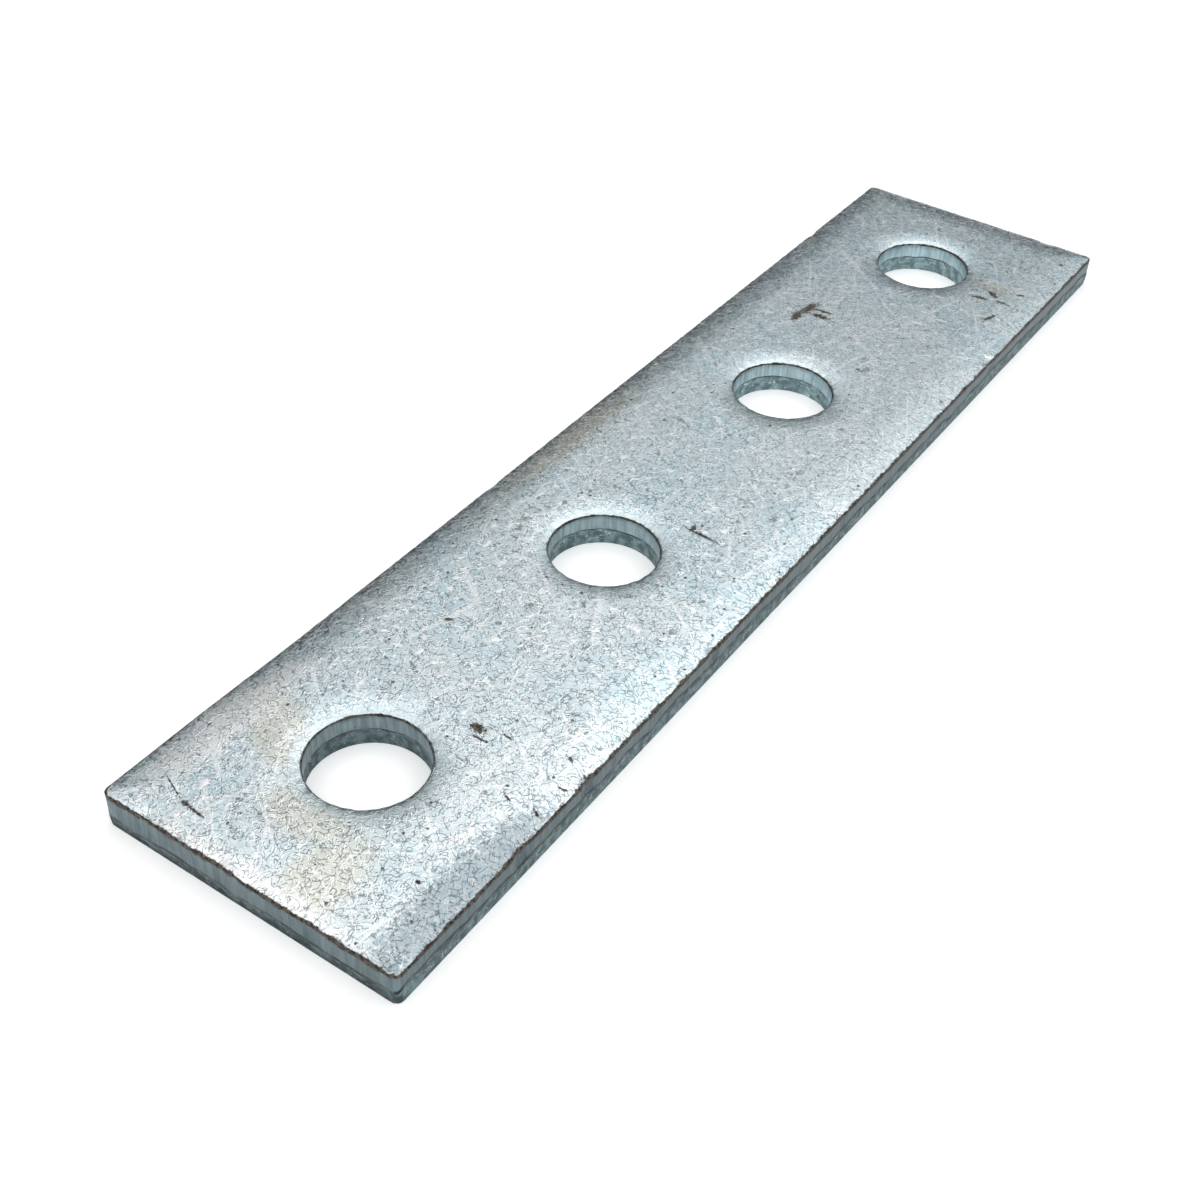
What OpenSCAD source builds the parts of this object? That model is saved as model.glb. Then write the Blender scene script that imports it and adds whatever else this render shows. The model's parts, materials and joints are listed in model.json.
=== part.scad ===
// Flat four-hole fishplate: one length of plated steel strip with a single row of bolt holes.
// The strip is sheared to length and the holes are punched from the upper face, so every cut
// edge has the section of punched steel: the face rolls over into the wall, an upright smooth
// land follows, and below it the steel breaks and the fracture leans away.
// Frame: origin at the middle of the lower face, the row of holes along X, upper face at +Z.
// The row lies a little off the centre line, as the stop of the punching tool was set.
// All lengths are in millimetres.

/* [Strip] */
// Width of the strip
plate_w = 40; // [30:1:80]
// Thickness of the strip
plate_t = 5; // [4:0.5:10]
// Plan radius of the four corners, dulled by tumbling before plating
corner_r = 1; // [0.5:0.1:4]

/* [Row of holes] */
// Number of holes in the row
hole_count = 4; // [2:1:8]
// Distance between the centres of neighbouring holes
hole_pitch = 45; // [28:1:90]
// Distance from each end of the strip to the centre of the nearest hole
end_margin = 20; // [14:1:45]
// How far the row lies off the centre line of the strip, toward +Y
row_offset = 0.7; // [0:0.1:2]
// Diameter of a hole on its smooth land, a free fit on an M12 bolt
hole_d = 14; // [8:0.5:18]

/* [Sheared outer edge] */
// Width of the rolled-over rim along the upper edges
edge_roll_w = 4; // [2:0.5:5]
// Radius of the long arc across that rim
edge_roll_r = 18; // [12:1:30]
// Radius of the tight lip where the rim meets the wall
edge_lip_r = 0.4; // [0.2:0.05:0.8]
// Height of the fracture above the lower face
edge_break_h = 2.3; // [0.5:0.1:3]
// How far the fracture leans in by the time it reaches the lower face
edge_break_lean = 0.1; // [0.05:0.05:0.6]

/* [Punched hole] */
// Width of the shallow dish that the punch draws down round a hole
dish_w = 3; // [1.5:0.1:4.5]
// Radius of the long arc across that dish
dish_r = 24; // [12:1:40]
// Radius of the tight lip where the dish meets the land
hole_lip_r = 0.4; // [0.2:0.05:0.8]
// Height of the hole's fracture above the lower face
hole_break_h = 2.3; // [0.5:0.1:3]
// How far the fracture flares out, on each side, by the time it reaches the lower face
hole_break_flare = 0.12; // [0.05:0.01:0.4]

/* [Hidden] */

$fn = 180;
plate_l = (hole_count - 1) * hole_pitch + 2 * end_margin;
hole_r = hole_d / 2;

// Depth below the face at which a lip of radius lip_r stands upright, when the arc that leads
// into it has radius arc_r and is level at a distance run from the wall
function lip_depth(run, arc_r, lip_r) =
    arc_r - sqrt(pow(arc_r - lip_r, 2) - pow(run - lip_r, 2));

// Sliver that is lost where a face rolls over into a wall, drawn for a face at y = 0 and a wall
// at x = 0, with steel at x > 0 and y < 0. The long arc and the lip share a tangent.
module rollover(run, arc_r, lip_r) {
    depth = lip_depth(run, arc_r, lip_r);
    difference() {
        translate([-run, -depth])
            square([2 * run, 2 * depth]);
        translate([lip_r, -depth])
            circle(r = lip_r);
        intersection() {
            translate([run, -arc_r])
                circle(r = arc_r);
            polygon([
                [run, -arc_r],
                [run, arc_r],
                [2 * lip_r - run, arc_r - 2 * depth]
            ]);
        }
    }
}

module edge_rollover() {
    rollover(edge_roll_w, edge_roll_r, edge_lip_r);
}

// Section across a sheared strip of the given width: land above, fracture leaning in below
module sheared_section(width) {
    wall = width / 2;
    foot = wall - edge_break_lean;
    difference() {
        polygon([
            [-foot, 0],
            [foot, 0],
            [wall, edge_break_h],
            [wall, plate_t],
            [-wall, plate_t],
            [-wall, edge_break_h]
        ]);
        translate([-wall, plate_t])
            edge_rollover();
        translate([wall, plate_t])
            mirror([1, 0])
                edge_rollover();
    }
}

// Plan outline with its dulled corners
module plan_outline() {
    square([plate_l - 2 * corner_r, plate_w], center = true);
    square([plate_l, plate_w - 2 * corner_r], center = true);
    for (sx = [-1, 1], sy = [-1, 1])
        translate([sx * (plate_l / 2 - corner_r), sy * (plate_w / 2 - corner_r)])
            circle(r = corner_r);
}

// Blank before punching, sheared along both sides and across both ends
module sheared_blank() {
    intersection() {
        linear_extrude(height = plate_t)
            plan_outline();
        rotate([90, 0, 90])
            linear_extrude(height = 2 * plate_l, center = true)
                sheared_section(plate_w);
        rotate([90, 0, 0])
            linear_extrude(height = 2 * plate_w, center = true)
                sheared_section(plate_l);
    }
}

// Space that the punch leaves, a half section revolved round the axis of the hole
module punched_hole() {
    foot = hole_r + hole_break_flare;
    rotate_extrude() {
        polygon([
            [0, -plate_t],
            [foot, -plate_t],
            [foot, 0],
            [hole_r, hole_break_h],
            [hole_r, plate_t],
            [0, plate_t]
        ]);
        translate([hole_r, plate_t])
            rollover(dish_w, dish_r, hole_lip_r);
    }
}

module plate() {
    color("lightsteelblue")
        difference() {
            sheared_blank();
            for (i = [0 : hole_count - 1])
                translate([(i - (hole_count - 1) / 2) * hole_pitch, row_offset, 0])
                    punched_hole();
        }
}

plate();
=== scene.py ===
import json
import math

import bmesh
import bpy
from bpy.props import FloatProperty, FloatVectorProperty, PointerProperty
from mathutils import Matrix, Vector, noise


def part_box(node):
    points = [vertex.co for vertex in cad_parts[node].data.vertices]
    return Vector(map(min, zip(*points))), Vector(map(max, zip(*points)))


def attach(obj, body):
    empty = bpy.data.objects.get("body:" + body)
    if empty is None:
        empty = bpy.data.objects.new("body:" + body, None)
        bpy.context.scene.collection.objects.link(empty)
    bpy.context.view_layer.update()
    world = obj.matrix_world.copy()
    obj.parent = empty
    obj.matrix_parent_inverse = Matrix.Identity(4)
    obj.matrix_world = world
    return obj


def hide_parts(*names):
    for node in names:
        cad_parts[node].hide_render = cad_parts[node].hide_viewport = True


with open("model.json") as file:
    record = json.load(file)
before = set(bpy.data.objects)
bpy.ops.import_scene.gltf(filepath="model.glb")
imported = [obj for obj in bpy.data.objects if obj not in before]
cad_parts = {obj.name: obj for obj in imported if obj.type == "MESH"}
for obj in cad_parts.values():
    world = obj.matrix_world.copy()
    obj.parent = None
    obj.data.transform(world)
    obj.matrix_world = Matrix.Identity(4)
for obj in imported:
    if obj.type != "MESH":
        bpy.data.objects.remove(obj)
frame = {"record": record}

bl_info = {
    "name": "Flat Fishplate",
    "version": (1, 0, 0),
    "blender": (4, 5, 0),
    "location": "3D View > Sidebar > Fishplate",
    "description": "Punched and sheared strip fishplate in worn zinc plate, with a plain studio",
    "category": "Object",
}

MM = 0.001
TOUCH = 0.02 * MM          # places closer than this are the same
LOWER_FLAT = 0.15 * MM     # width of the ring that holds the lower edge of a wall crisp
BREAK_CREASE = 0.12 * MM   # distance of the rings that hold the break line crisp
WALL_DEPTH = 0.3 * MM      # what lies no deeper than this in the steel is a cut wall
LIP_BAND = 0.6 * MM        # width of the uneven band of a face beside its lip
CHIP_BAND = 1.5 * MM       # how far a chip can reach from the lip
FLOOR_GAP = 0.02 * MM      # how far the floor lies below the plate
SMOOTH_ANGLE = math.radians(50)
WHITE = (1.0, 1.0, 1.0)

# Steps of the mesh over the long arc and the tight lip, and down the land and the fracture
ARC_STEPS = 7
LIP_STEPS = 4
LAND_STEPS = 3
FRACTURE_STEPS = 5

# Rings between a hole and the outline round it, on the lower and on the upper face
LOWER_RINGS = 4
UPPER_RINGS = 9

LOW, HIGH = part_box("plate")
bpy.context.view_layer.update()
BORES = [mount for mount in frame["record"]["mounts"] if mount["kind"] == "bore"]
HOLE_X = sorted(mount["pos_m"][0] for mount in BORES)
HOLE_R = BORES[0]["dims"]["r_mm"] * MM
ROW_Y = BORES[0]["pos_m"][1]

# Heights (sine of the elevation) of the sky levels between the horizon and overhead, and the
# height below which the sky is tinted
SKY_HEIGHTS = (0.25, 0.44, 0.60, 0.77, 0.84, 0.92)
TINTED_SKY = 0.7

# Curls that tumbling leaves in the zinc: scale to the millimetre and turn in radians
CURLS = ((0.42, 0.0), (0.9, 0.9), (1.6, 2.1))

# Straight scratches: turn in radians, and how much of their length is cut away
SCRATCHES = ((0.25, 0.50), (1.1, 0.52), (2.2, 0.52), (-0.5, 0.54))

# Marks on the upper face, in mm: x and y of the start, x and y of the end, half width
BROWN_MARKS = (
    (42.5, 8.6, 45.5, 8.2, 1.0),
    (40.0, 8.8, 42.0, 9.0, 0.9),
    (44.5, 7.6, 44.7, 4.7, 0.4),
    (42.9, 7.0, 43.1, 5.0, 0.7),
    (63.2, -9.9, 63.5, -12.0, 0.5),
    (66.0, -11.6, 64.9, -13.0, 0.6),
    (64.1, -13.3, 64.0, -15.4, 0.3),
    (57.5, -14.5, 59.9, -15.1, 0.4),
    (67.8, -15.5, 68.2, -16.3, 0.35),
    (81.1, -17.0, 81.3, -17.2, 0.35),
    (-13.0, -5.5, -13.2, -9.6, 0.35),
    (-12.2, -6.1, -12.7, -6.3, 0.4),
    (-56.8, -5.7, -57.0, -6.4, 0.9),
    (-58.1, -5.9, -58.0, -8.8, 0.2),
    (-56.0, -9.0, -56.1, -10.1, 0.2),
    (-54.4, -16.4, -54.7, -17.2, 0.3),
    (-63.0, -14.3, -63.3, -15.2, 0.18),
    (-62.6, -17.8, -63.2, -19.0, 0.25),
    (-58.6, -18.2, -58.4, -19.0, 0.22),
    (-55.5, -19.6, -55.0, -20.0, 0.6),
    (-67.7, -19.7, -67.0, -20.0, 0.5),
    (-81.7, 16.6, -83.4, 12.4, 0.12),
    (-83.5, 12.0, -83.7, 11.0, 0.4),
    (-83.7, 10.8, -83.8, 9.0, 0.22),
    (-77.4, -14.3, -77.5, -14.6, 0.3),
    (-45.0, 8.0, -44.5, 7.5, 0.35),
)

# Yellowish clouds in the plating, in mm: x and y of the start, x and y of the end, half width
TINTS = (
    (-87.0, -6.0, -79.5, -6.5, 5.0),
    (-72.0, 8.0, -67.5, 15.0, 4.4),
    (-77.5, -3.0, -77.5, 3.0, 4.0),
    (-20.0, 17.5, 10.0, 17.5, 2.5),
    (68.2, -9.0, 67.0, -13.5, 2.2),
)

# Stretches drawn darker and duller, in mm: as above. The first two, along the left edge and the far
# end, are painted shade where the rolled rim reflects darker; the third is a rubbed dull patch
DULL_AND_SHADED_PATCHES = (
    (0.0, 20.5, 95.0, 20.5, 6.0),
    (88.0, -20.0, 88.0, 20.0, 3.0),
    (66.6, -8.0, 66.0, -13.0, 1.7),
)

# Stretches of grey tarnish, in mm: as above
TARNISH = (
    (-88.0, -18.6, -64.0, -19.0, 4.6),
)

# Painted highlights: stretches where the face is drawn toward white, in mm: as above
PAINTED_HIGHLIGHTS = (
    (-85.0, 16.6, -62.0, 16.6, 3.4),
    (-86.9, -15.0, -86.9, 13.0, 1.9),
)

# Chips in the upper edge, in mm: x, y, reach along the edge, depth
EDGE_CHIPS = (
    (-55.5, -20.0, 1.6, 0.45),
    (-67.5, -20.0, 1.8, 0.5),
    (-87.5, -9.0, 1.4, 0.3),
    (-87.5, 3.5, 1.2, 0.25),
    (-87.5, 14.0, 1.5, 0.3),
    (-30.0, -20.0, 1.3, 0.3),
    (2.0, -20.0, 1.2, 0.25),
    (48.0, -20.0, 1.5, 0.3),
    (87.5, -12.0, 1.2, 0.15),
    (-20.0, 20.0, 1.3, 0.15),
    (66.0, 20.0, 1.4, 0.2),
)


# ---------------------------------------------------------------- settings

class PlateSettings(bpy.types.PropertyGroup):
    """Sizes of the steel plate and of its cut edges"""
    length: FloatProperty(
        name="Length", description="Length of the strip",
        default=HIGH[0] - LOW[0], unit="LENGTH")
    width: FloatProperty(
        name="Width", description="Width of the strip",
        default=HIGH[1] - LOW[1], unit="LENGTH")
    thickness: FloatProperty(
        name="Thickness", description="Thickness of the strip",
        default=HIGH[2] - LOW[2], unit="LENGTH")
    corner_radius: FloatProperty(
        name="Corner Radius", description="Plan radius of the four corners",
        default=1.0 * MM, unit="LENGTH")
    edge_roll_width: FloatProperty(
        name="Edge Roll Width", description="Width of the rolled-over rim of the outer edges",
        default=6.0 * MM, unit="LENGTH")
    edge_roll_radius: FloatProperty(
        name="Edge Roll Radius", description="Radius of the long arc across that rim",
        default=34.0 * MM, unit="LENGTH")
    edge_lip_radius: FloatProperty(
        name="Edge Lip Radius", description="Radius of the tight lip at the outer wall",
        default=0.25 * MM, unit="LENGTH")
    edge_lean: FloatProperty(
        name="Edge Lean", description="How far the outer fracture leans in at the lower face",
        default=0.1 * MM, unit="LENGTH")
    dish_width: FloatProperty(
        name="Dish Width", description="Width of the shallow dish round a hole",
        default=4.0 * MM, unit="LENGTH")
    dish_radius: FloatProperty(
        name="Dish Radius", description="Radius of the long arc across that dish",
        default=28.0 * MM, unit="LENGTH")
    hole_lip_radius: FloatProperty(
        name="Hole Lip Radius", description="Radius of the tight lip at the wall of a hole",
        default=0.3 * MM, unit="LENGTH")
    hole_flare: FloatProperty(
        name="Hole Flare", description="How far the fracture widens a hole at the lower face",
        default=0.12 * MM, unit="LENGTH")
    break_height: FloatProperty(
        name="Break Height", description="Height of the fracture above the lower face",
        default=2.3 * MM, unit="LENGTH")
    end_break_drop: FloatProperty(
        name="End Break Drop", description="How much lower the break line lies on the two ends",
        default=0.8 * MM, unit="LENGTH")
    flat_stretch: FloatProperty(
        name="Flat Stretch", description="Length at the first end where the left rim rolls less",
        default=30.0 * MM, unit="LENGTH")
    flat_share: FloatProperty(
        name="Flat Share", description="Share of the roll that is missing along that stretch",
        default=0.45, subtype="FACTOR")
    break_wander: FloatProperty(
        name="Break Wander", description="How far the break line wanders up and down the wall",
        default=0.6 * MM, unit="LENGTH")
    hole_break_wander: FloatProperty(
        name="Hole Break Wander", description="How far it wanders in a hole",
        default=0.18 * MM, unit="LENGTH")
    fracture_relief: FloatProperty(
        name="Fracture Relief", description="Depth of the torn hollows below the break",
        default=0.12 * MM, unit="LENGTH")
    lip_wear: FloatProperty(
        name="Lip Wear", description="Depth of the uneven wear along the lips",
        default=0.07 * MM, unit="LENGTH")
    mesh_step: FloatProperty(
        name="Mesh Step", description="Spacing of the vertices along the outer edges",
        default=0.5 * MM, unit="LENGTH")


class FinishSettings(bpy.types.PropertyGroup):
    """Colours of the zinc plate, of its cut walls and of its wear, and the painted shade along the
    break line and the rolled rim
    """
    zinc_cool: FloatVectorProperty(
        name="Cool Zinc", description="Bluer clouds of the plated faces",
        default=(0.60, 0.735, 0.79), subtype="COLOR", size=3, min=0.0, max=1.0)
    zinc_warm: FloatVectorProperty(
        name="Warm Zinc", description="Greyer clouds of the plated faces",
        default=(0.67, 0.755, 0.785), subtype="COLOR", size=3, min=0.0, max=1.0)
    zinc_yellow: FloatVectorProperty(
        name="Yellow Zinc", description="Yellowish stains in the plating",
        default=(0.74, 0.70, 0.57), subtype="COLOR", size=3, min=0.0, max=1.0)
    # Partly painted shade: this colour darkens the rolled rim along the left edge and the far end,
    # and elsewhere a rubbed dull patch
    zinc_dull_and_shade: FloatVectorProperty(
        name="Dull Zinc", description="Stretches that are rubbed dull",
        default=(0.30, 0.35, 0.38), subtype="COLOR", size=3, min=0.0, max=1.0)
    zinc_drawn: FloatVectorProperty(
        name="Drawn Zinc", description="Smooth zinc on the dish round a hole",
        default=(0.66, 0.755, 0.79), subtype="COLOR", size=3, min=0.0, max=1.0)
    tarnish: FloatVectorProperty(
        name="Tarnish", description="Colour that grey tarnish multiplies the zinc by",
        default=(0.50, 0.53, 0.55), subtype="COLOR", size=3, min=0.0, max=1.0)
    dark_curl: FloatVectorProperty(
        name="Dark Curl", description="Dark curls in the zinc",
        default=(0.10, 0.13, 0.145), subtype="COLOR", size=3, min=0.0, max=1.0)
    scratch: FloatVectorProperty(
        name="Scratch", description="Straight scratches",
        default=(0.95, 0.97, 0.98), subtype="COLOR", size=3, min=0.0, max=1.0)
    pit: FloatVectorProperty(
        name="Pit", description="Pits in the plated faces",
        default=(0.08, 0.07, 0.06), subtype="COLOR", size=3, min=0.0, max=1.0)
    land_dark: FloatVectorProperty(
        name="Dark Land", description="Dark streaks of the smooth land",
        default=(0.142, 0.19, 0.205), subtype="COLOR", size=3, min=0.0, max=1.0)
    land_light: FloatVectorProperty(
        name="Light Land", description="Light streaks of the smooth land",
        default=(0.238, 0.31, 0.33), subtype="COLOR", size=3, min=0.0, max=1.0)
    torn_dark: FloatVectorProperty(
        name="Dark Fracture", description="Dark blotches of the torn steel",
        default=(0.102, 0.15, 0.16), subtype="COLOR", size=3, min=0.0, max=1.0)
    torn_light: FloatVectorProperty(
        name="Light Fracture", description="Light blotches of the torn steel",
        default=(0.232, 0.31, 0.325), subtype="COLOR", size=3, min=0.0, max=1.0)
    torn_curl: FloatVectorProperty(
        name="Fracture Curl", description="Bright curls on the torn steel",
        default=(0.70, 0.76, 0.78), subtype="COLOR", size=3, min=0.0, max=1.0)
    # Painted shade: the colour that the groove along the break line is darkened toward
    shaded_crease: FloatVectorProperty(
        name="Crease", description="Dark crease along the break line",
        default=(0.02, 0.022, 0.022), subtype="COLOR", size=3, min=0.0, max=1.0)
    nick: FloatVectorProperty(
        name="Nick", description="Nicks in the cut walls",
        default=(0.03, 0.03, 0.03), subtype="COLOR", size=3, min=0.0, max=1.0)
    rust_dark: FloatVectorProperty(
        name="Dark Rust", description="Dark part of the brown bare steel",
        default=(0.020, 0.016, 0.013), subtype="COLOR", size=3, min=0.0, max=1.0)
    rust_light: FloatVectorProperty(
        name="Light Rust", description="Light part of the brown bare steel",
        default=(0.12, 0.094, 0.074), subtype="COLOR", size=3, min=0.0, max=1.0)
    mark_depth: FloatProperty(
        name="Mark Depth", description="Depth of the curls, scratches and pits",
        default=0.012 * MM, unit="LENGTH", precision=6)


class StudioSettings(bpy.types.PropertyGroup):
    """Camera, floor and lights"""
    camera_place: FloatVectorProperty(
        name="Camera Place", description="Place of the camera",
        default=(-157.2 * MM, -85.4 * MM, 134.1 * MM), unit="LENGTH")
    camera_turn: FloatVectorProperty(
        name="Camera Turn", description="Turn of the camera about X, Y and Z",
        default=(math.radians(49.20), math.radians(-2.12), math.radians(-55.51)),
        subtype="EULER", unit="ROTATION")
    camera_lens: FloatProperty(
        name="Camera Lens", description="Focal length on a 36 mm wide sensor",
        default=49.46, subtype="DISTANCE_CAMERA")
    sky_levels: FloatVectorProperty(
        name="Sky Levels", description="Brightness of the sky from the horizon to overhead",
        default=(0.05, 0.04, 0.12, 0.44, 0.83, 0.88, 0.55, 0.5), size=8)
    sky_tint: FloatVectorProperty(
        name="Low Sky Tint", description="Cool tint of the sky below its upper third",
        default=(0.93, 1.0, 1.02), subtype="COLOR", size=3)
    sky_strength: FloatProperty(
        name="Sky Strength", description="Strength of the whole sky", default=2.05)
    card_way: FloatVectorProperty(
        name="Card Way", description="Direction of the dark card",
        default=(0.18, 0.95, 0.26), subtype="DIRECTION")
    card_level: FloatProperty(
        name="Card Level", description="Share of the sky's light at the middle of the dark card",
        default=0.26, subtype="FACTOR")
    fill_way: FloatVectorProperty(
        name="Fill Way", description="Direction of the low fill light",
        default=(-0.64, -0.77, 0.0), subtype="DIRECTION")
    fill_level: FloatProperty(
        name="Fill Level", description="Brightness of the low fill light", default=0.35)
    floor_size: FloatProperty(
        name="Floor Size", description="Side of the square floor", default=6.0, unit="LENGTH")
    floor_color: FloatVectorProperty(
        name="Floor Colour", description="Colour of the plain floor",
        default=(0.96, 0.96, 0.96), subtype="COLOR", size=3, min=0.0, max=1.0)
    floor_glow: FloatProperty(
        name="Floor Glow", description="Light that the floor adds to its own look", default=0.30)


# ---------------------------------------------------------------- helpers

def spaced(first, last, steps):
    """Evenly spaced values from first to last, both included."""
    return [first + (last - first) * i / steps for i in range(steps + 1)]


def deselect_all():
    """Leave nothing selected in object mode."""
    if bpy.context.object and bpy.context.object.mode != "OBJECT":
        bpy.ops.object.mode_set(mode="OBJECT")
    bpy.ops.object.select_all(action="DESELECT")


def select_only(test):
    """In edit mode, select the vertices for which test(co) holds, and what they span."""
    mesh = bmesh.from_edit_mesh(bpy.context.object.data)
    for vert in mesh.verts:
        vert.select = test(vert.co)
    mesh.select_mode = {"VERT"}
    mesh.select_flush_mode()
    bmesh.update_edit_mesh(bpy.context.object.data)


# ---------------------------------------------------------------- section of a cut edge

def rolled_rim(run, arc_r, lip_r):
    """Points (distance from the wall, depth below the face) from the level face over the long
    arc and the tight lip to the upright land. Both arcs share a tangent."""
    lip_depth = arc_r - math.sqrt((arc_r - lip_r) ** 2 - (run - lip_r) ** 2)
    turn = math.asin((run - lip_r) / (arc_r - lip_r))
    arc = [(run - arc_r * math.sin(a), arc_r - arc_r * math.cos(a))
           for a in spaced(0.0, turn, ARC_STEPS)]
    lip = [(lip_r - lip_r * math.sin(a), lip_depth - lip_r * math.cos(a))
           for a in spaced(turn, math.pi / 2, LIP_STEPS)]
    return arc + lip[1:]


def cut_wall(land_top, break_h, lean):
    """Points (distance into the steel, height) from the top of the land down over the break
    and the fracture to the lower face."""
    land = [(0.0, h) for h in spaced(land_top, break_h + BREAK_CREASE, LAND_STEPS)][1:]
    fracture = [(lean * (break_h - h) / break_h, h)
                for h in spaced(break_h - BREAK_CREASE, 0.0, FRACTURE_STEPS)]
    return land + [(0.0, break_h)] + fracture


def cut_section(plate, run, arc_r, lip_r, lean):
    """Whole section of a cut edge from the upper face to a first ring on the lower one:
    (distance from the wall, height above the lower face)."""
    rim = [(d, plate.thickness - depth) for d, depth in rolled_rim(run, arc_r, lip_r)]
    wall = cut_wall(rim[-1][1], plate.break_height, lean)
    return rim + wall + [(lean + LOWER_FLAT, 0.0)]


# ---------------------------------------------------------------- modelling

def extrude_ring(scale, drop, centre):
    """Extrude the selected ring of edges, lower it and scale it about a centre."""
    bpy.ops.mesh.extrude_edges_move(TRANSFORM_OT_translate={"value": (0.0, 0.0, -drop)})
    bpy.ops.transform.resize(value=(scale[0], scale[1], 1.0), center_override=centre)


def add_frame_loop(x_span, half_y, z, x_steps, y_steps):
    """In edit mode, add a rectangle of edges with even steps along its sides, which are told
    from the edges of a hole by their length."""
    x_mid = (x_span[0] + x_span[1]) / 2
    x_size = x_span[1] - x_span[0]
    bpy.ops.mesh.primitive_plane_add(size=1.0, location=(x_mid, 0.0, z))
    bpy.ops.transform.resize(value=(x_size, 2 * half_y, 1.0), center_override=(x_mid, 0.0, z))
    bpy.ops.mesh.delete(type="ONLY_FACE")
    mesh = bmesh.from_edit_mesh(bpy.context.object.data)
    sides = [edge for edge in mesh.edges if edge.is_wire and edge.calc_length() > HOLE_R]
    along_x = [edge for edge in sides if abs(edge.verts[0].co.y - edge.verts[1].co.y) < TOUCH]
    along_y = [edge for edge in sides if edge not in along_x]
    bmesh.ops.subdivide_edges(mesh, edges=along_x, cuts=x_steps - 1)
    bmesh.ops.subdivide_edges(mesh, edges=along_y, cuts=y_steps - 1)
    bmesh.update_edit_mesh(bpy.context.object.data)


def add_holed_sheet(centre_x, radius, x_span, half_y, z, steps, cuts):
    """In edit mode, add one face of a cell: a ring of edges bridged to the frame round it."""
    bpy.ops.mesh.select_all(action="DESELECT")
    bpy.ops.mesh.primitive_circle_add(
        vertices=2 * sum(steps), radius=radius, location=(centre_x, ROW_Y, z))
    add_frame_loop(x_span, half_y, z, *steps)
    select_only(lambda co: abs(co.z - z) < TOUCH)
    bpy.ops.mesh.select_mode(type="EDGE")
    bpy.ops.mesh.bridge_edge_loops(number_cuts=cuts, interpolation="LINEAR")
    bpy.ops.mesh.select_mode(type="VERT")


def punch_cell(plate, centre_x, x_span, half_y, steps):
    """One stretch of the strip with its punched hole: both faces are made as holed sheets,
    and the mouth of the dish is extruded ring by ring down to the lower face."""
    section = cut_section(plate, plate.dish_width, plate.dish_radius,
                          plate.hole_lip_radius, plate.hole_flare)
    radius, height = HOLE_R + section[0][0], section[0][1]
    bpy.ops.mesh.primitive_plane_add(size=MM, location=(0.0, 0.0, 0.0))
    cell = bpy.context.object
    bpy.ops.object.mode_set(mode="EDIT")
    bpy.ops.mesh.select_all(action="SELECT")
    bpy.ops.mesh.delete(type="VERT")
    add_holed_sheet(centre_x, HOLE_R + section[-1][0], x_span, half_y, 0.0, steps, LOWER_RINGS)
    add_holed_sheet(centre_x, radius, x_span, half_y, height, steps, UPPER_RINGS)
    mouth, top = radius, plate.thickness
    select_only(lambda co: abs(co.z - top) < TOUCH
                and math.hypot(co.x - centre_x, co.y - ROW_Y) < mouth + TOUCH)
    for distance, h in section[1:]:
        grow = (HOLE_R + distance) / radius
        extrude_ring((grow, grow), height - h, (centre_x, ROW_Y, 0.0))
        radius, height = HOLE_R + distance, h
    bpy.ops.object.mode_set(mode="OBJECT")
    return cell


def shear_outline(plate, half_x, half_y):
    """In edit mode, extrude the outline of the upper face over the rolled rim and down the
    sheared wall, ring by ring, to the outline of the lower face."""
    section = cut_section(plate, plate.edge_roll_width, plate.edge_roll_radius,
                          plate.edge_lip_radius, plate.edge_lean)
    top = plate.thickness
    select_only(lambda co: abs(co.z - top) < TOUCH
                and (abs(abs(co.x) - half_x) < TOUCH or abs(abs(co.y) - half_y) < TOUCH))
    bpy.ops.mesh.select_mode(type="EDGE")
    size, height = (half_x, half_y), top
    for distance, h in section[1:] + [(plate.edge_roll_width, 0.0)]:
        new = (plate.length / 2 - distance, plate.width / 2 - distance)
        extrude_ring((new[0] / size[0], new[1] / size[1]), height - h, (0.0, 0.0, 0.0))
        size, height = new, h
    bpy.ops.mesh.select_mode(type="VERT")
    bpy.ops.mesh.select_all(action="SELECT")
    bpy.ops.mesh.remove_doubles(threshold=TOUCH)
    bpy.ops.mesh.normals_make_consistent(inside=False)


def wander(co, size, seed):
    """Smooth noise between about -0.5 and 0.5 with features about size long."""
    return noise.noise(co / size + Vector((0.0, 0.0, seed)))


def nearest_cut(co, plate):
    """Distance of a place from the nearest cut wall in plan, the direction into the steel
    there, and whether that wall is a hole's."""
    hole_x = min(HOLE_X, key=lambda x: abs(co.x - x))
    out_of_hole = Vector((co.x - hole_x, co.y - ROW_Y, 0.0))
    to_hole = out_of_hole.length - HOLE_R
    to_side = plate.width / 2 - abs(co.y)
    to_end = plate.length / 2 - abs(co.x)
    if to_hole < min(to_side, to_end):
        return to_hole, out_of_hole.normalized(), True
    if min(to_side, to_end) < plate.corner_radius > max(to_side, to_end):
        inward = Vector((math.copysign(to_end - plate.corner_radius, co.x),
                         math.copysign(to_side - plate.corner_radius, co.y), 0.0))
        return plate.corner_radius - inward.length, inward.normalized(), False
    if to_side < to_end:
        return to_side, Vector((0.0, -math.copysign(1.0, co.y), 0.0)), False
    return to_end, Vector((-math.copysign(1.0, co.x), 0.0, 0.0)), False


def rim_lift(co, plate, top):
    """How much higher the left rim lies along its first stretch, where the shear cut clean."""
    run = (co.x - LOW[0]) / plate.flat_stretch
    if co.y < 0 or run > 1.0 or co.z < plate.break_height:
        return 0.0
    share = plate.flat_share * min(1.0, 2.0 * (1.0 - run))
    if co.z > top:
        return share * (plate.thickness - co.z)
    return share * (plate.thickness - top) * (
        (co.z - plate.break_height) / (top - plate.break_height))


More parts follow.
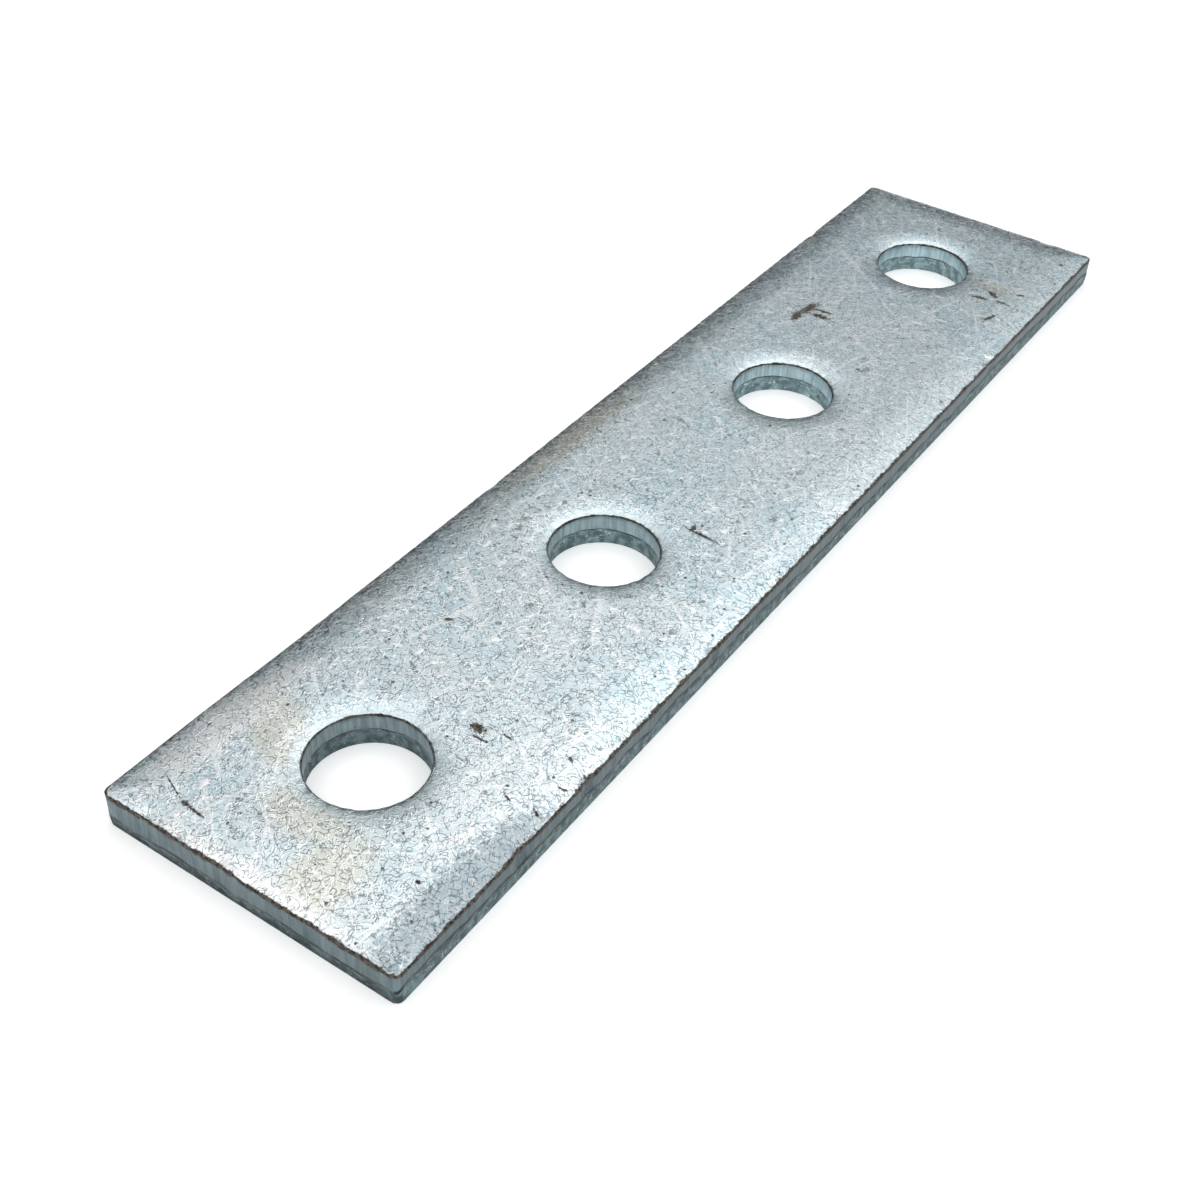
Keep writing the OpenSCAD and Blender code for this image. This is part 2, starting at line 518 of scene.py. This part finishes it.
def torn_wall_shift(co, inward, at_hole, top, plate):
    """How a place on a cut wall moves: the break line wanders up and down, most at its own
    height, and the steel below it is torn into hollows."""
    break_h = plate.break_height
    tent = min(co.z / break_h, (top - co.z) / (top - break_h))
    reach = plate.hole_break_wander if at_hole else plate.break_wander
    sway = 1.4 * wander(Vector((co.x, co.y, 0.0)), 6.0 * MM, seed=3)
    jitter = 0.6 * wander(co, 1.6 * MM, seed=5)
    rise = reach * (sway + jitter)
    drop = 0.0 if at_hole else plate.end_break_drop * abs(inward.x)
    shift = Vector((0, 0, tent * (rise - drop)))
    if co.z < break_h + TOUCH:
        hollow = 0.6 + wander(co, 1.5 * MM, seed=11) + 0.7 * wander(co, 0.6 * MM, seed=17)
        depth = plate.fracture_relief * min(1.0, 2.0 * co.z / break_h)
        shift += inward * depth * max(0.0, hollow)
    return shift


def ragged_lip_shift(co, inward, plate):
    """How a place on a face beside its lip moves: a little into the steel and down."""
    ragged = plate.lip_wear * max(0.0, 0.5 + wander(co, 0.9 * MM, seed=23))
    return (inward * 0.8 + Vector((0, 0, -0.6))) * ragged


def chip_shift(co, inward, distance):
    """How a place near the lip moves where the edge is chipped, less the farther it lies."""
    depth = 0.0
    for x, y, reach, bite in EDGE_CHIPS:
        near = 1.0 - math.hypot(co.x - x * MM, co.y - y * MM) / (reach * MM)
        depth = max(depth, bite * MM * min(1.0, 1.6 * near))
    return (inward * 0.7 + Vector((0, 0, -0.5))) * depth * (1.0 - distance / CHIP_BAND)


def tear_walls(mesh, plate):
    """Give the cut walls, the lips and the left rim their wear, and keep all of it inside the
    plate's box. Three point attributes tell the finish where each vertex lies: lip is the
    distance in mm from the lip, above 0 on the faces and below 0 on the walls, below_break
    is how many mm a wall's vertex lies below the break line, and at_hole is 1 round a hole."""
    lip_place = mesh.attributes.new("lip", "FLOAT", "POINT").data
    break_place = mesh.attributes.new("below_break", "FLOAT", "POINT").data
    hole_place = mesh.attributes.new("at_hole", "FLOAT", "POINT").data
    edge_rim = rolled_rim(plate.edge_roll_width, plate.edge_roll_radius, plate.edge_lip_radius)
    hole_rim = rolled_rim(plate.dish_width, plate.dish_radius, plate.hole_lip_radius)
    edge_top = plate.thickness - edge_rim[-1][1]
    hole_top = plate.thickness - hole_rim[-1][1]
    off_wall = -3.0    # what below_break says on the faces
    for vert in mesh.vertices:
        co = vert.co.copy()
        distance, inward, at_hole = nearest_cut(co, plate)
        top = hole_top if at_hole else edge_top
        foot = plate.hole_flare if at_hole else plate.edge_lean
        on_lower_face = co.z < TOUCH and distance > foot + TOUCH
        on_wall = distance < WALL_DEPTH and co.z - top < TOUCH and not on_lower_face
        lip_place[vert.index].value = (co.z - top) / MM if on_wall else distance / MM
        break_place[vert.index].value = (plate.break_height - co.z) / MM if on_wall else off_wall
        hole_place[vert.index].value = float(at_hole)
        if on_wall and co.z > TOUCH:
            vert.co += torn_wall_shift(co, inward, at_hole, top, plate)
        elif distance < LIP_BAND and co.z > top:
            vert.co += ragged_lip_shift(co, inward, plate)
        if not at_hole and co.z > top - CHIP_BAND and distance < CHIP_BAND:
            vert.co += chip_shift(co, inward, distance)
        if not at_hole and distance <= plate.edge_roll_width:
            vert.co.z += rim_lift(co, plate, top)
        for axis in range(3):
            vert.co[axis] = max(LOW[axis], min(HIGH[axis], vert.co[axis]))


def dull_corners(mesh, plate):
    """Round the square plan corners: nested squares about a corner's centre become arcs."""
    centre_x = plate.length / 2 - plate.corner_radius
    centre_y = plate.width / 2 - plate.corner_radius
    for vert in mesh.vertices:
        dx = abs(vert.co.x) - centre_x
        dy = abs(vert.co.y) - centre_y
        if dx > 0 and dy > 0:
            shrink = max(dx, dy) / math.hypot(dx, dy)
            vert.co.x = math.copysign(centre_x + dx * shrink, vert.co.x)
            vert.co.y = math.copysign(centre_y + dy * shrink, vert.co.y)


def build_plate(plate):
    """The whole plate as one closed mesh."""
    half_x = plate.length / 2 - plate.edge_roll_width
    half_y = plate.width / 2 - plate.edge_roll_width
    borders = [-half_x] + [(a + b) / 2 for a, b in zip(HOLE_X, HOLE_X[1:])] + [half_x]
    pitch = HOLE_X[1] - HOLE_X[0]
    steps = (round(pitch / plate.mesh_step), round(2 * half_y / plate.mesh_step))
    cells = []
    for centre_x, x_span in zip(HOLE_X, zip(borders, borders[1:])):
        deselect_all()
        cells.append(punch_cell(plate, centre_x, x_span, half_y, steps))
    deselect_all()
    for cell in cells:
        cell.select_set(True)
    bpy.context.view_layer.objects.active = cells[0]
    bpy.ops.object.join()
    body = bpy.context.object
    body.name = "fishplate_body"
    body.data.name = "fishplate_body"
    bpy.ops.object.mode_set(mode="EDIT")
    bpy.ops.mesh.select_all(action="SELECT")
    bpy.ops.mesh.remove_doubles(threshold=TOUCH)
    shear_outline(plate, half_x, half_y)
    bpy.ops.object.mode_set(mode="OBJECT")
    dull_corners(body.data, plate)
    tear_walls(body.data, plate)
    return body


# ---------------------------------------------------------------- shader helpers

def add_node(tree, kind, inputs=None, **settings):
    """Add a shader node, set it up, and set or link the inputs, given by name or number."""
    made = tree.nodes.new("ShaderNode" + kind)
    for name, value in settings.items():
        setattr(made, name, value)
    for key, value in (inputs or {}).items():
        if isinstance(value, bpy.types.NodeSocket):
            tree.links.new(value, made.inputs[key])
        else:
            made.inputs[key].default_value = value
    return made


def maths(tree, operation, first, second=0.0):
    """Result of one step of arithmetic."""
    return add_node(tree, "Math", {0: first, 1: second}, operation=operation).outputs[0]


def vector_maths(tree, operation, first, second):
    """Result of one step of arithmetic with vectors."""
    made = add_node(tree, "VectorMath", {0: first, 1: second}, operation=operation)
    return made.outputs["Value" if operation == "DOT_PRODUCT" else "Vector"]


def band(tree, value, start, end, low=0.0, high=1.0):
    """Smooth step from low to high as the value goes from start to end."""
    made = add_node(tree, "MapRange", {"Value": value, "From Min": start, "From Max": end,
                                       "To Min": low, "To Max": high},
                    interpolation_type="SMOOTHSTEP")
    return made.outputs["Result"]


def grain(tree, place, scale, detail=2.0, roughness=0.5):
    """Plain noise between 0 and 1, about scale features to the millimetre."""
    made = add_node(tree, "TexNoise", {"Vector": place, "Scale": scale, "Detail": detail,
                                       "Roughness": roughness})
    return made.outputs["Fac"]


def mix_values(tree, factor, first, second):
    """Mix of two values."""
    return add_node(tree, "Mix", {0: factor, 2: first, 3: second}).outputs[0]


def blend(tree, factor, first, second, blend_type="MIX"):
    """Mix of two colours."""
    return add_node(tree, "Mix", {0: factor, 6: first, 7: second},
                    data_type="RGBA", blend_type=blend_type).outputs[2]


def grey(tree, value):
    """Grey colour of the given value."""
    return add_node(tree, "CombineColor", {0: value, 1: value, 2: value}).outputs[0]


def new_group(name, inputs):
    """A node group with one mask for output: the group, its given inputs and its result."""
    group = bpy.data.node_groups.new(name, "ShaderNodeTree")
    for socket_name, kind in inputs:
        group.interface.new_socket(name=socket_name, in_out="INPUT",
                                   socket_type="NodeSocket" + kind)
    group.interface.new_socket(name="Mask", in_out="OUTPUT", socket_type="NodeSocketFloat")
    given = group.nodes.new("NodeGroupInput").outputs
    result = group.nodes.new("NodeGroupOutput").inputs["Mask"]
    return group, given, result


def mask_of(tree, group, **inputs):
    """Use a node group in a tree and return its mask."""
    given = {name.capitalize(): value for name, value in inputs.items()}
    return add_node(tree, "Group", given, node_tree=group).outputs["Mask"]


# ---------------------------------------------------------------- shader groups

def group_strokes():
    """Scratches: thin level lines of a noise, broken up. They are short and curly where the
    stretch is even, and long and straight where it is small along one way."""
    name = "strokes"
    if name in bpy.data.node_groups:
        return bpy.data.node_groups[name]
    group, given, result = new_group(name, (
        ("Place", "Vector"), ("Stretch", "Vector"), ("Turn", "Float"), ("Width", "Float"),
        ("Cut", "Float")))
    turned = add_node(group, "VectorRotate", {"Vector": given["Place"], "Angle": given["Turn"]},
                      rotation_type="Z_AXIS").outputs[0]
    place = vector_maths(group, "MULTIPLY", turned, given["Stretch"])
    swirl = grain(group, place, 1.0, detail=0.0)
    off_line = maths(group, "ABSOLUTE", maths(group, "SUBTRACT", swirl, 0.5))
    line = band(group, off_line, given["Width"], 0.0)
    aside = vector_maths(group, "ADD", place, (31.0, 7.0, 3.0))
    gap = grain(group, aside, 0.8, detail=0.0)
    kept = band(group, gap, given["Cut"], maths(group, "ADD", given["Cut"], 0.05))
    group.links.new(maths(group, "MULTIPLY", line, kept), result)
    return group


def group_specks():
    """Small round specks, a share of the cells of a cellular noise."""
    name = "specks"
    if name in bpy.data.node_groups:
        return bpy.data.node_groups[name]
    group, given, result = new_group(name, (
        ("Place", "Vector"), ("Density", "Float"), ("Size", "Float"), ("Share", "Float")))
    warp = add_node(group, "TexNoise", {"Vector": given["Place"], "Scale": 3.0}).outputs["Color"]
    warp = add_node(group, "VectorMath", {0: warp, "Scale": 0.25}, operation="SCALE").outputs[0]
    cells = add_node(group, "TexVoronoi", {
        "Vector": vector_maths(group, "ADD", given["Place"], warp), "Scale": given["Density"]})
    pick = add_node(group, "SeparateColor", {0: cells.outputs["Color"]}).outputs
    radius = maths(group, "MULTIPLY", given["Size"], maths(
        group, "MULTIPLY", given["Density"], band(group, pick["Green"], 0.0, 1.0, low=0.4)))
    spot = band(group, maths(group, "DIVIDE", cells.outputs["Distance"], radius), 1.0, 0.55)
    kept = maths(group, "LESS_THAN", pick["Red"], given["Share"])
    group.links.new(maths(group, "MULTIPLY", spot, kept), result)
    return group


def group_smear():
    """A ragged oval mark on the upper face, given its middle, half lengths and turn."""
    name = "smear"
    if name in bpy.data.node_groups:
        return bpy.data.node_groups[name]
    group, given, result = new_group(name, (
        ("Place", "Vector"), ("Middle", "Vector"), ("Turn", "Vector"), ("Reach", "Vector"),
        ("Fray", "Float")))
    local = add_node(group, "Mapping", {
        "Vector": given["Place"], "Location": given["Middle"], "Rotation": given["Turn"],
        "Scale": given["Reach"]}, vector_type="TEXTURE").outputs[0]
    away = add_node(group, "VectorMath", {0: local}, operation="LENGTH").outputs["Value"]
    ratio = maths(group, "ADD", away, given["Fray"])
    group.links.new(band(group, ratio, 1.0, 0.5), result)
    return group


# ---------------------------------------------------------------- finish of the plate

def all_marks(tree, place, marks, fray):
    """Masks of a list of smears, joined by their highest value."""
    rag = maths(tree, "MULTIPLY", fray, maths(
        tree, "SUBTRACT", grain(tree, place, 2.2, detail=3.0, roughness=0.7), 0.5))
    joined = 0.0
    for start_x, start_y, end_x, end_y, width in marks:
        length = math.hypot(end_x - start_x, end_y - start_y)
        half_length = 0.6 * length + width    # more than half, because the ends are frayed
        half_depth = 2.0
        mask = mask_of(
            tree, group_smear(), place=place, fray=rag,
            middle=((start_x + end_x) / 2, (start_y + end_y) / 2, HIGH[2] / MM),
            turn=(0.0, 0.0, math.atan2(end_y - start_y, end_x - start_x)),
            reach=(half_length, width, half_depth))
        joined = maths(tree, "MAXIMUM", joined, mask)
    return joined


def shade(tree, mask, color, tone, strength):
    """Colour drawn toward a tone where the mask is."""
    return blend(tree, maths(tree, "MULTIPLY", mask, strength), color, (*tone, 1.0))


def zinc_tone(tree, place, fine, finish):
    """Colour of the zinc before its small marks: clouds, stains, mottling, stretches drawn dull,
    which are painted shade along the left edge and the far end, and painted highlights."""
    clouds = band(tree, grain(tree, place, 0.07, detail=3.0), 0.35, 0.65)
    color = blend(tree, clouds, (*finish.zinc_cool, 1.0), (*finish.zinc_warm, 1.0))
    yellow = all_marks(tree, place, TINTS, fray=1.6)
    color = shade(tree, yellow, color, finish.zinc_yellow, strength=0.62)
    mottle = band(tree, grain(tree, place, 0.45, detail=4.0, roughness=0.6), 0.3, 0.7,
                  low=0.95, high=1.04)
    tone = maths(tree, "MULTIPLY", mottle, fine)
    color = blend(tree, 1.0, color, grey(tree, tone), "MULTIPLY")
    # painted shade along the left edge and the far end, and a rubbed dull patch
    dull = all_marks(tree, place, DULL_AND_SHADED_PATCHES, fray=1.2)
    color = shade(tree, dull, color, finish.zinc_dull_and_shade, strength=0.4)
    # painted highlights: the face drawn toward white
    painted_highlight = all_marks(tree, place, PAINTED_HIGHLIGHTS, fray=1.2)
    return shade(tree, painted_highlight, color, WHITE, strength=0.7)


def zinc_curls(tree, place, lag):
    """Mask of short curly marks in three sizes, each turned further by the lag."""
    curls = 0.0
    for scale, turn in CURLS:
        mask = mask_of(tree, group_strokes(), place=place, stretch=(scale, scale, scale),
                       turn=turn + lag, width=0.038 * scale, cut=0.42)
        curls = maths(tree, "MAXIMUM", curls, mask)
    return curls


def zinc_scratches(tree, place):
    """Mask of long straight scratches that run in a few directions."""
    scratches = 0.0
    for turn, cut in SCRATCHES:
        mask = mask_of(tree, group_strokes(), place=place, stretch=(0.07, 0.9, 0.9),
                       turn=turn, width=0.03, cut=cut)
        scratches = maths(tree, "MAXIMUM", scratches, mask)
    return scratches


def plated_face(tree, place, lip, at_hole, finish):
    """Colour, roughness and height of the plated faces, smoother on the dish round a hole."""
    fine = band(tree, grain(tree, place, 5.0, detail=2.0, roughness=0.7), 0.3, 0.7,
                low=0.90, high=1.10)
    dark_curls = zinc_curls(tree, place, lag=0.0)
    light_curls = zinc_curls(tree, place, lag=0.5)
    glints = mask_of(tree, group_specks(), place=place, density=1.0, size=0.18, share=0.3)
    scratches = zinc_scratches(tree, place)
    pits = mask_of(tree, group_specks(), place=place, density=0.6, size=0.28, share=0.4)
    tarnish = all_marks(tree, place, TARNISH, fray=1.2)
    drawn = maths(tree, "MULTIPLY", at_hole, band(tree, lip, 2.4, 0.5, high=0.7))

    along = add_node(tree, "SeparateXYZ", {0: place}).outputs["X"]
    color = zinc_tone(tree, place, fine, finish)
    color = shade(tree, dark_curls, color, finish.dark_curl,
                  strength=band(tree, along, -40.0, 40.0, low=0.75, high=0.5))
    color = shade(tree, light_curls, color, WHITE, strength=0.9)
    color = shade(tree, glints, color, WHITE, strength=0.8)
    color = shade(tree, scratches, color, finish.scratch, strength=0.7)
    color = blend(tree, drawn, color, (*finish.zinc_drawn, 1.0))
    color = blend(tree, tarnish, color, (*finish.tarnish, 1.0), "MULTIPLY")
    color = shade(tree, pits, color, finish.pit, strength=0.9)

    height = maths(tree, "SUBTRACT", maths(tree, "ADD", light_curls, fine), dark_curls)
    height = maths(tree, "SUBTRACT", maths(tree, "MULTIPLY", height, 0.85), pits)
    roughness = band(tree, grain(tree, place, 0.8, detail=3.0), 0.3, 0.7, low=0.23, high=0.30)
    return {"color": color, "roughness": roughness, "height": height}


def painted_wall_shading(tree, place, below, torn_share, at_hole):
    """Painted light and shade on a cut wall, as a factor for its colour: painted light inside the
    holes, more so toward +X; outside, painted shade that darkens the two ends downward and the long
    sides upward."""
    along = add_node(tree, "SeparateXYZ", {0: place}).outputs["X"]
    end = HIGH[0] / MM
    at_end = band(tree, maths(tree, "ABSOLUTE", along), end - 1.0, end - 0.6)
    long_side = band(tree, below, 0.3, 1.1, low=0.62, high=0.95)
    short_side = band(tree, below, 0.0, 1.9, low=0.78, high=0.42)
    outside = mix_values(tree, at_end, long_side, short_side)
    inside = maths(tree, "MULTIPLY", mix_values(tree, torn_share, 1.9, 1.45),
                   band(tree, along, -90.0, 60.0, low=0.5, high=1.15))
    return mix_values(tree, at_hole, outside, inside)


def sheared_wall(tree, place, below, at_hole, finish):
    """Colour, roughness and height of the cut walls: smooth land above, torn steel below, and a
    broken crease between them that is painted dark as shade. Painted light and shade over the walls
    multiplies their colour."""
    torn_share = band(tree, below, -0.05, 0.2)
    upright = vector_maths(tree, "MULTIPLY", place, (1.0, 1.0, 0.08))
    streaks = band(tree, grain(tree, upright, 2.2, detail=3.0, roughness=0.7), 0.3, 0.7)
    land = blend(tree, streaks, (*finish.land_dark, 1.0), (*finish.land_light, 1.0))
    blotch = band(tree, grain(tree, place, 0.9, detail=3.0, roughness=0.6), 0.38, 0.66)
    torn = blend(tree, blotch, (*finish.torn_dark, 1.0), (*finish.torn_light, 1.0))
    curls = mask_of(tree, group_strokes(), place=place, stretch=(0.8, 0.8, 1.6), turn=0.0,
                    width=0.03, cut=0.5)
    torn = shade(tree, curls, torn, finish.torn_curl, strength=0.6)
    gaps = band(tree, grain(tree, place, 0.5, detail=2.0), 0.38, 0.48, low=0.5, high=1.0)
    # painted shade in the groove along the break line, broken into gaps
    shaded_crease = maths(tree, "MULTIPLY", gaps, band(
        tree, maths(tree, "ABSOLUTE", below), mix_values(tree, at_hole, 0.34, 0.16), 0.04))
    nicks = mask_of(tree, group_specks(), place=place, density=0.6, size=0.25, share=0.3)

    # painted light and shade that the walls' colour is multiplied by
    light = painted_wall_shading(tree, place, below, torn_share, at_hole)
    color = blend(tree, torn_share, land, torn)
    color = blend(tree, 1.0, color, grey(tree, light), "MULTIPLY")
    color = shade(tree, shaded_crease, color, finish.shaded_crease, strength=0.9)
    color = shade(tree, nicks, color, finish.nick, strength=0.8)

    raised = maths(tree, "ADD", maths(tree, "MULTIPLY", streaks, 0.6), curls)
    height = maths(tree, "SUBTRACT", raised, maths(tree, "ADD", shaded_crease, nicks))
    roughness = mix_values(tree, torn_share, 0.45, 0.6)
    return {"color": color, "roughness": roughness, "height": height}


def bare_steel(tree, place, lip, at_hole):
    """Mask of brown bare steel: a ragged line along the lip, and the marks on the face."""
    patches = band(tree, grain(tree, place, 0.45, detail=3.0, roughness=0.6), 0.35, 0.65, low=0.25)
    ragged = band(tree, grain(tree, place, 1.8, detail=3.0, roughness=0.7), 0.3, 0.7, low=0.3)
    narrowest = mix_values(tree, at_hole, 0.09, 0.03)
    widest = mix_values(tree, at_hole, 0.42, 0.17)
    width = maths(tree, "ADD", narrowest, maths(
        tree, "MULTIPLY", widest, maths(tree, "MULTIPLY", patches, ragged)))
    line = band(tree, maths(tree, "DIVIDE", maths(tree, "ABSOLUTE", lip), width), 1.1, 0.5)
    return maths(tree, "MAXIMUM", line, all_marks(tree, place, BROWN_MARKS, fray=2.6))


def zinc_plate(finish):
    """Zinc plate with years of handling: silvery and scratched on the faces, with painted
    highlights and stretches of painted shade, dull and dark on the cut walls under painted light
    and shade, bare and brown along the lip and where it was struck."""
    material = bpy.data.materials.new("zinc_plate")
    material.use_nodes = True
    tree = material.node_tree
    shader = tree.nodes["Principled BSDF"]
    object_place = add_node(tree, "TexCoord").outputs["Object"]
    place = add_node(tree, "VectorMath", {0: object_place, "Scale": 1 / MM},
                     operation="SCALE").outputs[0]
    lip = add_node(tree, "Attribute", attribute_name="lip").outputs["Fac"]
    below = add_node(tree, "Attribute", attribute_name="below_break").outputs["Fac"]
    at_hole = add_node(tree, "Attribute", attribute_name="at_hole").outputs["Fac"]

    face = plated_face(tree, place, lip, at_hole, finish)
    wall = sheared_wall(tree, place, below, at_hole, finish)
    bare = bare_steel(tree, place, lip, at_hole)
    on_face = band(tree, lip, -0.15, 0.1)
    stain = band(tree, grain(tree, place, 2.6, detail=2.0), 0.4, 0.6)
    rust = blend(tree, stain, (*finish.rust_dark, 1.0), (*finish.rust_light, 1.0))

    color = blend(tree, bare, blend(tree, on_face, wall["color"], face["color"]), rust)
    roughness = maths(tree, "ADD", mix_values(tree, on_face, wall["roughness"], face["roughness"]),
                      maths(tree, "MULTIPLY", bare, 0.2))
    height = maths(tree, "SUBTRACT",
                   mix_values(tree, on_face, wall["height"], face["height"]), bare)
    metal = maths(tree, "SUBTRACT", 1.0, maths(tree, "MULTIPLY", bare, 0.7))
    bump = add_node(tree, "Bump", {
        "Strength": 1.0, "Distance": finish.mark_depth, "Height": height})
    tree.links.new(color, shader.inputs["Base Color"])
    tree.links.new(roughness, shader.inputs["Roughness"])
    tree.links.new(metal, shader.inputs["Metallic"])
    tree.links.new(bump.outputs["Normal"], shader.inputs["Normal"])
    return material


# ---------------------------------------------------------------- studio

def studio_floor(studio):
    """Plain pale floor, a little lighter to the eye and in reflections than its shadow makes it."""
    material = bpy.data.materials.new("studio_floor")
    material.use_nodes = True
    tree = material.node_tree
    shader = tree.nodes["Principled BSDF"]
    shader.inputs["Base Color"].default_value = (*studio.floor_color, 1.0)
    shader.inputs["Roughness"].default_value = 0.8
    shader.inputs["Specular IOR Level"].default_value = 0.1
    path = add_node(tree, "LightPath").outputs
    seen = maths(tree, "MAXIMUM", path["Is Camera Ray"], maths(
        tree, "MAXIMUM", path["Is Glossy Ray"], path["Is Transmission Ray"]))
    shader.inputs["Emission Color"].default_value = (*WHITE, 1.0)
    tree.links.new(maths(tree, "MULTIPLY", seen, studio.floor_glow),
                   shader.inputs["Emission Strength"])
    return material


def studio_world(studio):
    """Soft light that grows with height, with one dark card at the left and a low fill behind
    the camera. Past the floor the camera sees plain white."""
    world = bpy.data.worlds.new("studio_world")
    bpy.context.scene.world = world
    world.use_nodes = True
    tree = world.node_tree
    way = add_node(tree, "TexCoord").outputs["Generated"]
    height = add_node(tree, "SeparateXYZ", {0: way}).outputs["Z"]
    ramp = add_node(tree, "ValToRGB", {0: height})
    stops = ramp.color_ramp.elements
    stops[0].color = (*[studio.sky_levels[0]] * 3, 1.0)
    stops[1].color = (*[studio.sky_levels[-1]] * 3, 1.0)
    for position, level in zip(SKY_HEIGHTS, studio.sky_levels[1:-1]):
        tint = studio.sky_tint if position < TINTED_SKY else WHITE
        stops.new(position).color = (*[level * part for part in tint], 1.0)
    toward_fill = vector_maths(tree, "DOT_PRODUCT", way, studio.fill_way)
    fill = maths(tree, "MULTIPLY", band(tree, toward_fill, -0.5, 0.1),
                 band(tree, height, 0.5, 0.15, high=studio.fill_level))
    light = blend(tree, 1.0, ramp.outputs["Color"], grey(tree, fill), "ADD")
    toward_card = vector_maths(tree, "DOT_PRODUCT", way, studio.card_way)
    card = band(tree, toward_card, 0.56, 0.98, low=1.0, high=studio.card_level)
    strength = maths(tree, "MULTIPLY", card, studio.sky_strength)
    seen = add_node(tree, "LightPath").outputs["Is Camera Ray"]
    back = tree.nodes["Background"]
    tree.links.new(blend(tree, seen, light, (*WHITE, 1.0)), back.inputs["Color"])
    tree.links.new(mix_values(tree, seen, strength, 1.0), back.inputs["Strength"])


# ---------------------------------------------------------------- operators

class FISHPLATE_OT_plate(bpy.types.Operator):
    """Model the punched and sheared plate and give it its worn zinc finish"""
    bl_idname = "fishplate.plate"
    bl_label = "Plate"

    def execute(self, context):
        body = build_plate(context.scene.fishplate_plate)
        body.data.materials.clear()
        body.data.materials.append(zinc_plate(context.scene.fishplate_finish))
        bpy.ops.object.shade_smooth_by_angle(angle=SMOOTH_ANGLE)
        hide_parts("plate")
        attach(body, "root")
        return {"FINISHED"}


class FISHPLATE_OT_studio(bpy.types.Operator):
    """Lay the plain floor, set the lights and place the camera"""
    bl_idname = "fishplate.studio"
    bl_label = "Studio"

    def execute(self, context):
        studio = context.scene.fishplate_studio
        deselect_all()
        bpy.ops.mesh.primitive_plane_add(size=studio.floor_size, location=(0, 0, -FLOOR_GAP))
        floor = context.object
        floor.name = "studio_floor"
        floor.data.materials.append(studio_floor(studio))
        studio_world(studio)
        bpy.ops.object.camera_add(location=studio.camera_place, rotation=studio.camera_turn)
        camera = context.object
        camera.data.lens = studio.camera_lens
        camera.data.sensor_width = 36.0
        camera.data.clip_start = 10 * MM
        context.scene.camera = camera
        context.scene.view_settings.view_transform = "Standard"
        return {"FINISHED"}


class FISHPLATE_PT_panel(bpy.types.Panel):
    """Lists the steps that make the plate and its studio"""
    bl_idname = "FISHPLATE_PT_panel"
    bl_label = "Fishplate"
    bl_space_type = "VIEW_3D"
    bl_region_type = "UI"
    bl_category = "Fishplate"

    def draw(self, context):
        column = self.layout.column()
        for operator in OPERATORS:
            column.operator(operator.bl_idname)


OPERATORS = (FISHPLATE_OT_plate, FISHPLATE_OT_studio)
CLASSES = (PlateSettings, FinishSettings, StudioSettings, *OPERATORS, FISHPLATE_PT_panel)


def register():
    """Register the classes and hang their settings on the scene."""
    for cls in CLASSES:
        bpy.utils.register_class(cls)
    bpy.types.Scene.fishplate_plate = PointerProperty(type=PlateSettings)
    bpy.types.Scene.fishplate_finish = PointerProperty(type=FinishSettings)
    bpy.types.Scene.fishplate_studio = PointerProperty(type=StudioSettings)


def unregister():
    """Take the settings off the scene and unregister the classes."""
    del bpy.types.Scene.fishplate_plate
    del bpy.types.Scene.fishplate_finish
    del bpy.types.Scene.fishplate_studio
    for cls in reversed(CLASSES):
        bpy.utils.unregister_class(cls)


def main():
    """Build everything in order."""
    register()
    bpy.ops.fishplate.plate()
    bpy.ops.fishplate.studio()


if __name__ == "__main__":
    main()
